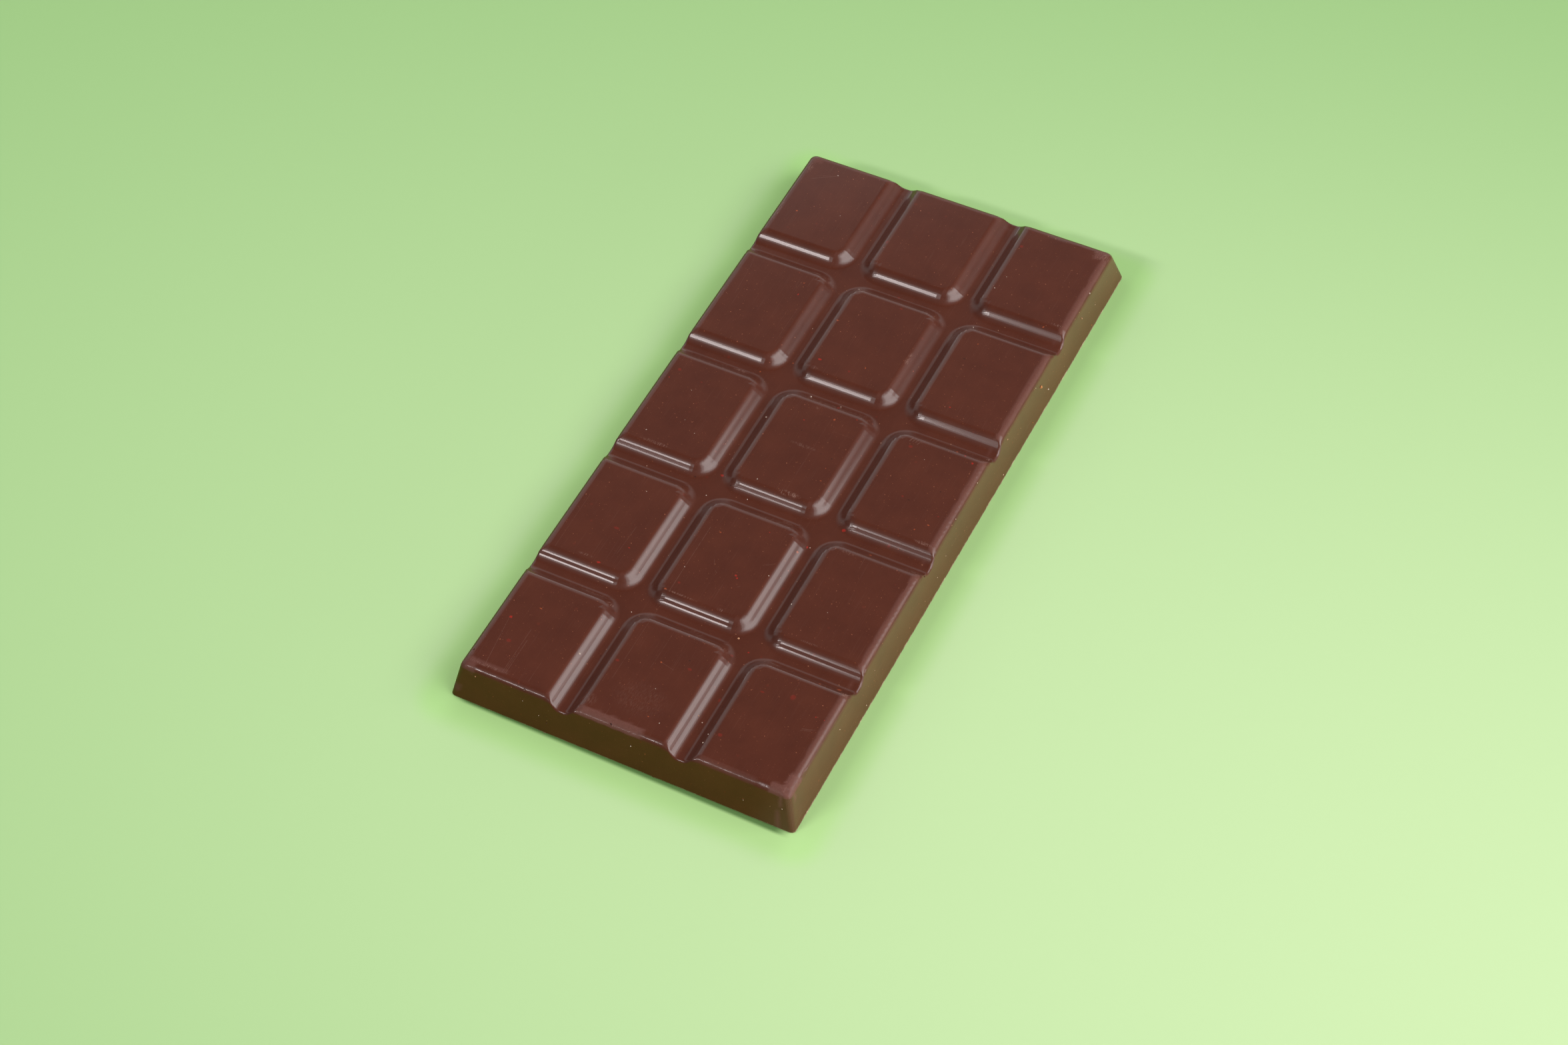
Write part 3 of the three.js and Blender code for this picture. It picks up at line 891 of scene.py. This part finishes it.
crumbs = {
    "size": 0.21 * mm,
    "seed": 31,
    "subdivisions": 2,
    "unevenness": 0.28,
    "stretch": (0.7, 1.3),
    # in the grooves: x, y in millimetres, size as a share of the usual one, brownness from 0 to 1
    "inGrooves": (
        (-11.5, -47.0, 1.0, 0.1), (14.8, -33.9, 1.0, 0.0), (9.0, -43.9, 1.5, 0.8), (14.3, -67.7, 1.1, 0.1),
        (14.3, -65.7, 0.9, 0.0), (11.7, -63.2, 1.0, 0.2), (10.5, -62.3, 1.2, 0.8), (-14.9, -60.2, 1.5, 0.1),
        (-4.4, -14.35, 1.0, 0.0), (-11.9, -16.8, 1.0, 0.1), (11.4, -19.65, 1.0, 0.2),
        (-10.0, 4.5, 1.4, 0.2), (-4.8, 13.3, 1.3, 0.0), (1.5, 13.5, 0.9, 0.0), (-8.7, 42.4, 0.9, 0.1),
        (16.0, 42.9, 0.8, 0.0), (-12.6, 29.5, 0.8, 0.5), (12.3, 8.8, 0.8, 0.6), (20.6, 44.5, 0.7, 0.7),
        (-25.5, -15.2, 0.8, 0.5),
    ),
    # on the walls: side, place along it, distance out from the start of the rim, size, brownness
    "onWalls": (
        ("front", -30.0, 2.7, 1.2, 0.8), ("front", -20.1, 3.9, 0.8, 0.2), ("front", -16.7, 5.8, 0.7, 0.3),
        ("front", 2.1, 4.2, 1.1, 0.1), ("front", 24.8, 6.0, 0.8, 0.3), ("front", 32.3, 4.5, 0.8, 0.2),
        ("right", -53.2, 4.2, 0.8, 0.4), ("right", -44.1, 8.0, 1.0, 0.3), ("right", -38.9, 4.2, 0.8, 0.4),
        ("right", -13.3, 6.6, 0.8, 0.3), ("right", -9.0, 5.2, 0.8, 0.5), ("right", -2.8, 1.6, 0.9, 0.2),
        ("right", 6.8, 1.6, 1.0, 0.2), ("right", 15.6, 8.3, 1.0, 0.4), ("right", 19.9, 2.9, 1.1, 0.7),
        ("right", 29.5, 7.8, 1.1, 1.0), ("right", 33.3, 2.1, 0.9, 0.3), ("right", 35.2, 3.6, 2.4, 1.0),
        ("right", 37.5, 6.4, 1.5, 0.0), ("right", 54.9, 3.5, 1.7, 0.7), ("right", 58.0, 8.3, 1.1, 1.0),
        ("right", 60.0, 1.5, 1.4, 0.0), ("right", 60.9, 5.4, 0.9, 0.4), ("left", -41.0, 5.0, 1.0, 0.3),
        ("left", 22.0, 3.5, 0.9, 0.6), ("back", -18.0, 4.4, 1.0, 0.4), ("back", 9.0, 6.8, 0.9, 0.2),
    ),
    "pale": (0.62, 0.50, 0.42),
    "brown": (0.45, 0.17, 0.05),
    "mottleScale": 9000.0,
    "mottleStrength": 0.5,
    "roughness": 0.8,
}


def makeCrumbs():
    places = []
    for x, y, size, brown in crumbs["inGrooves"]:
        depth = float(grooveDepth(x * mm, y * mm))
        places.append(((x * mm, y * mm, bar["height"] - depth), size, brown))
    for side, along, way, size, brown in crumbs["onWalls"]:
        places.append((edgePlace(side, along, way), size, brown))
    random = np.random.default_rng(crumbs["seed"])
    startFresh()
    bpy.ops.mesh.primitive_ico_sphere_add(subdivisions=crumbs["subdivisions"], radius=0.5)
    first = bpy.context.object
    ball = readPoints(first)
    pieces = []
    for spot, size, brown in places:
        startFresh()
        first.select_set(True)
        bpy.context.view_layer.objects.active = first
        bpy.ops.object.duplicate()
        piece = bpy.context.object
        rough = 1 + random.uniform(-1, 1, (len(ball), 1)) * crumbs["unevenness"]
        stretch = random.uniform(*crumbs["stretch"], 3)
        writePoints(piece, np.array(spot) + ball * rough * stretch * size * crumbs["size"])
        storeShare(piece, "brown", np.full(len(ball), brown))
        pieces.append(piece)
    startFresh()
    first.select_set(True)
    bpy.ops.object.delete()
    for piece in pieces:
        piece.select_set(True)
    bpy.context.view_layer.objects.active = pieces[0]
    bpy.ops.object.join()
    joined = bpy.context.object
    joined.name = joined.data.name = "crumbs"
    return joined


def makeCrumbFinish():
    # each crumb has its own brownness, and all are mottled a little
    material, tree, shader = newMaterial("crumb")
    where = addNode(tree, "ShaderNodeTexCoord").outputs["Object"]
    strength = crumbs["mottleStrength"]
    mottle = noise(tree, where, crumbs["mottleScale"], 2.0, 0.5)[0]
    uneven = maths(tree, "MULTIPLY_ADD", mottle, strength, attribute(tree, "brown"))
    share = maths(tree, "SUBTRACT", uneven, strength / 2, use_clamp=True)
    connect(tree, blend(tree, crumbs["pale"], crumbs["brown"], share), shader.inputs["Base Color"])
    shader.inputs["Roughness"].default_value = crumbs["roughness"]
    return material


crumbPiece = makeCrumbs()
crumbPiece.data.materials.clear()
crumbPiece.data.materials.append(makeCrumbFinish())
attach(crumbPiece, "root")
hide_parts("bar")
print("crumbs laid:", len(crumbPiece.data.polygons), "faces")


studio = {
    "floorSize": 8.0,
    "floorGap": 0.02 * mm,  # keeps the paper clear of the flat base
    "floorRoughness": 0.9,
    "floorSpecular": 0.2,
    # painted pool of light on the paper: its colour at the brightest place, its colour further off, and that
    # place
    "floorInPaintedLight": (0.374, 0.497, 0.266),
    "floorOutsidePaintedLight": (0.174, 0.315, 0.113),
    "paintedLightPlace": (0.272, -0.057),
    "fadeAcross": 0.5,  # painted pool of light: the paper fades more slowly across than along
    "fadeReach": 0.35,
    "shadowLift": 0.35,
    # painted reflection: what the walls see of the paper in front and beside, and how far from the right wall
    # it changes
    "glossAhead": (0.10, 0.262, 0.015),
    "glossBeside": (0.475, 0.765, 0.32),
    "glossChange": (10 * mm, 5 * mm),
    # painted shade: the paper close round the bar is deeper in colour
    "paintedShadeTint": (0.92, 1.03, 0.82),
    "paintedShadeReach": (3.0 * mm, 8.0 * mm),
    # shade in front of the bar: tint, nearest and furthest reach; it slants a little and fades at the corners
    "shades": (((0.26, 0.33, 0.24), 0.0, 0.9 * mm), ((0.91, 0.905, 0.9), 2.0 * mm, 9.0 * mm)),
    "shadeSlant": 0.0102,
    "shadeEnds": (4.0 * mm, 0.4 * mm),
    # name: distance, compass angle from +X, height angle, roll, swing and tip in degrees,
    # then length and breadth for each metre of distance, and brightness
    "lamps": {
        "stripLamp": (3.0, 236.3, 36.3, 22.2, 0.0, 0.0, 0.375, 0.072, 25.5),
        "stripHaze": (3.0, 235.1, 39.7, 21.9, 0.0, 0.0, 0.766, 0.203, 2.4),
        "windowCore": (3.0, 18.3, 38.7, -18.5, 33.5, 2.5, 1.109, 0.436, 3.9),
        "windowWide": (3.0, 2.7, 49.8, -11.2, -5.0, 31.1, 1.204, 0.784, 2.8),
        "paperStrip": (3.0, 236.3, 36.3, 22.2, 0.0, 0.0, 0.375, 0.085, 34.0),
        "paperFill": (3.0, 185, 42, 0, 0, 0, 1.2, 0.8, 1.0),
        "backFill": (3.0, 130, 22, 0, 0, 0, 2.8, 0.88, 0.8),
        "backGlow": (3.0, 135, 4, 0, 0, 0, 2.4, 0.1, 1.0),
        "sideCard": (0.6, -8, 7, 0, 0, 0, 1.2, 0.22, 5.0),
    },
    "lampTint": {"stripLamp": (1.0, 0.92, 0.91)},
    "roomGlow": 0.025,
    # the camera's place in millimetres, its directions and its lens
    "eye": (180.7, -330.4, 459.6),
    "right": (0.89168, 0.45137, -0.03425),
    "forward": (-0.30467, 0.54246, -0.78289),
    "lens": 71.08,
    "sensorWidth": 36,
    "nearestSeen": 0.01,
}


def softRamp(tree, value, low, high, toLow=0.0, toHigh=1.0):
    return ramp(tree, value, low, high, toLow, toHigh, interpolation_type="SMOOTHSTEP")


def makeFloor():
    startFresh()
    bpy.ops.mesh.primitive_plane_add(size=studio["floorSize"], location=(0, 0, -studio["floorGap"]))
    floor = bpy.context.object
    floor.name = "floor"
    material, tree, shader = newMaterial("paleFloor")
    where = addNode(tree, "ShaderNodeTexCoord").outputs["Object"]
    # painted pool of light: the paper is brightest at one place and fades gently away from it
    brightX, brightY = studio["paintedLightPlace"]
    across = studio["fadeAcross"]
    centred = addNode(tree, "ShaderNodeMapping", {"Vector": where, "Scale": (across, 1, 1),
                                                  "Location": (-brightX * across, -brightY, 0)})
    away = vectors(tree, "LENGTH", centred.outputs["Vector"])
    fade = softRamp(tree, away, 0.0, studio["fadeReach"])
    paper = blend(tree, studio["floorInPaintedLight"], studio["floorOutsidePaintedLight"], fade)
    # painted shade: close round the bar it is deeper in colour
    parts = addNode(tree, "ShaderNodeSeparateXYZ", {"Vector": where}).outputs
    outside = vectors(tree, "ABSOLUTE", where)
    outside = vectors(tree, "SUBTRACT", outside, (bar["halfWidth"], bar["halfLength"], 0))
    outside = vectors(tree, "LENGTH", vectors(tree, "MAXIMUM", outside, (0, 0, 0)))
    near = softRamp(tree, outside, *studio["paintedShadeReach"], 1, 0)
    paper = blend(tree, paper, studio["paintedShadeTint"], near, "MULTIPLY")
    # and painted shadow darkens it in front of the bar, most of all along the foot
    ahead = maths(tree, "MULTIPLY_ADD", parts["X"], studio["shadeSlant"], parts["Y"])
    width = maths(tree, "ABSOLUTE", parts["X"])
    before = maths(tree, "LESS_THAN", parts["Y"], 0)
    fadeStart, fadeEnd = (bar["halfWidth"] - inset for inset in studio["shadeEnds"])
    for tint, inner, outer in studio["shades"]:
        inShade = softRamp(tree, ahead, -bar["halfLength"] - outer, -bar["halfLength"] - inner)
        within = softRamp(tree, width, fadeStart, fadeEnd + inner, 1, 0)
        share = product(tree, product(tree, within, inShade), before)
        paper = blend(tree, paper, tint, share, "MULTIPLY")
    # painted reflection: the walls of the bar see a deeper green in front of it than at its right
    inward, outward = studio["glossChange"]
    beside = ramp(tree, parts["X"], bar["halfWidth"] - inward, bar["halfWidth"] + outward)
    gloss = blend(tree, studio["glossAhead"], studio["glossBeside"], beside)
    seen = addNode(tree, "ShaderNodeLightPath").outputs["Is Camera Ray"]
    connect(tree, blend(tree, gloss, paper, seen), shader.inputs["Base Color"])
    # painted light: the paper glows with a share of its own colour, which keeps its shadows light
    connect(tree, blend(tree, (0, 0, 0), paper, seen), shader.inputs["Emission Color"])
    shader.inputs["Emission Strength"].default_value = studio["shadowLift"]
    shader.inputs["Roughness"].default_value = studio["floorRoughness"]
    shader.inputs["Specular IOR Level"].default_value = studio["floorSpecular"]
    floor.data.materials.append(material)
    return floor


def makeCamera():
    eye = Vector(studio["eye"]) * mm
    right, forward = Vector(studio["right"]), Vector(studio["forward"])
    turn = Matrix((right, right.cross(forward), -forward)).transposed()
    data = bpy.data.cameras.new("camera")
    data.lens = studio["lens"]
    data.sensor_width = studio["sensorWidth"]
    data.clip_start = studio["nearestSeen"]
    camera = bpy.data.objects.new("camera", data)
    camera.matrix_world = Matrix.Translation(eye) @ turn.to_4x4()
    bpy.context.scene.collection.objects.link(camera)
    bpy.context.scene.camera = camera


def turned(degrees, axis):
    return Matrix.Rotation(math.radians(degrees), 4, axis)


def makeLights(floor):
    # the two paper lamps light nothing but the paper
    paperOnly = bpy.data.collections.new("paperOnly")
    paperOnly.objects.link(floor)
    # turns a lamp so that it looks back along the line on which it stands out from the bar
    facing = Matrix(((0, 0, 1, 0), (1, 0, 0, 0), (0, 1, 0, 0), (0, 0, 0, 1)))
    for name, setting in studio["lamps"].items():
        distance, compass, height, roll, swing, tip, length, breadth, glow = setting
        startFresh()
        bpy.ops.object.light_add(type="AREA")
        lamp = bpy.context.object
        lamp.name = lamp.data.name = name
        line = turned(compass, "Z") @ turned(-height, "Y")
        lean = turned(roll, "Z") @ turned(-swing, "Y") @ turned(tip, "X")
        lamp.matrix_world = line @ Matrix.Translation((distance, 0, 0)) @ facing @ lean
        lamp.data.shape = "RECTANGLE"
        lamp.data.size, lamp.data.size_y = length * distance, breadth * distance
        lamp.data.color = studio["lampTint"].get(name, (1, 1, 1))
        lamp.data.energy = math.pi * lamp.data.size * lamp.data.size_y * glow
        if name.startswith("paper"):
            lamp.light_linking.receiver_collection = paperOnly
    world = bpy.data.worlds.new("studio")
    bpy.context.scene.world = world
    world.use_nodes = True
    room = world.node_tree.nodes["Background"]
    room.inputs["Color"].default_value = (1, 1, 1, 1)
    room.inputs["Strength"].default_value = studio["roomGlow"]


floorPiece = makeFloor()
makeCamera()
makeLights(floorPiece)
bpy.context.scene.view_settings.view_transform = "Standard"
print("studio ready")
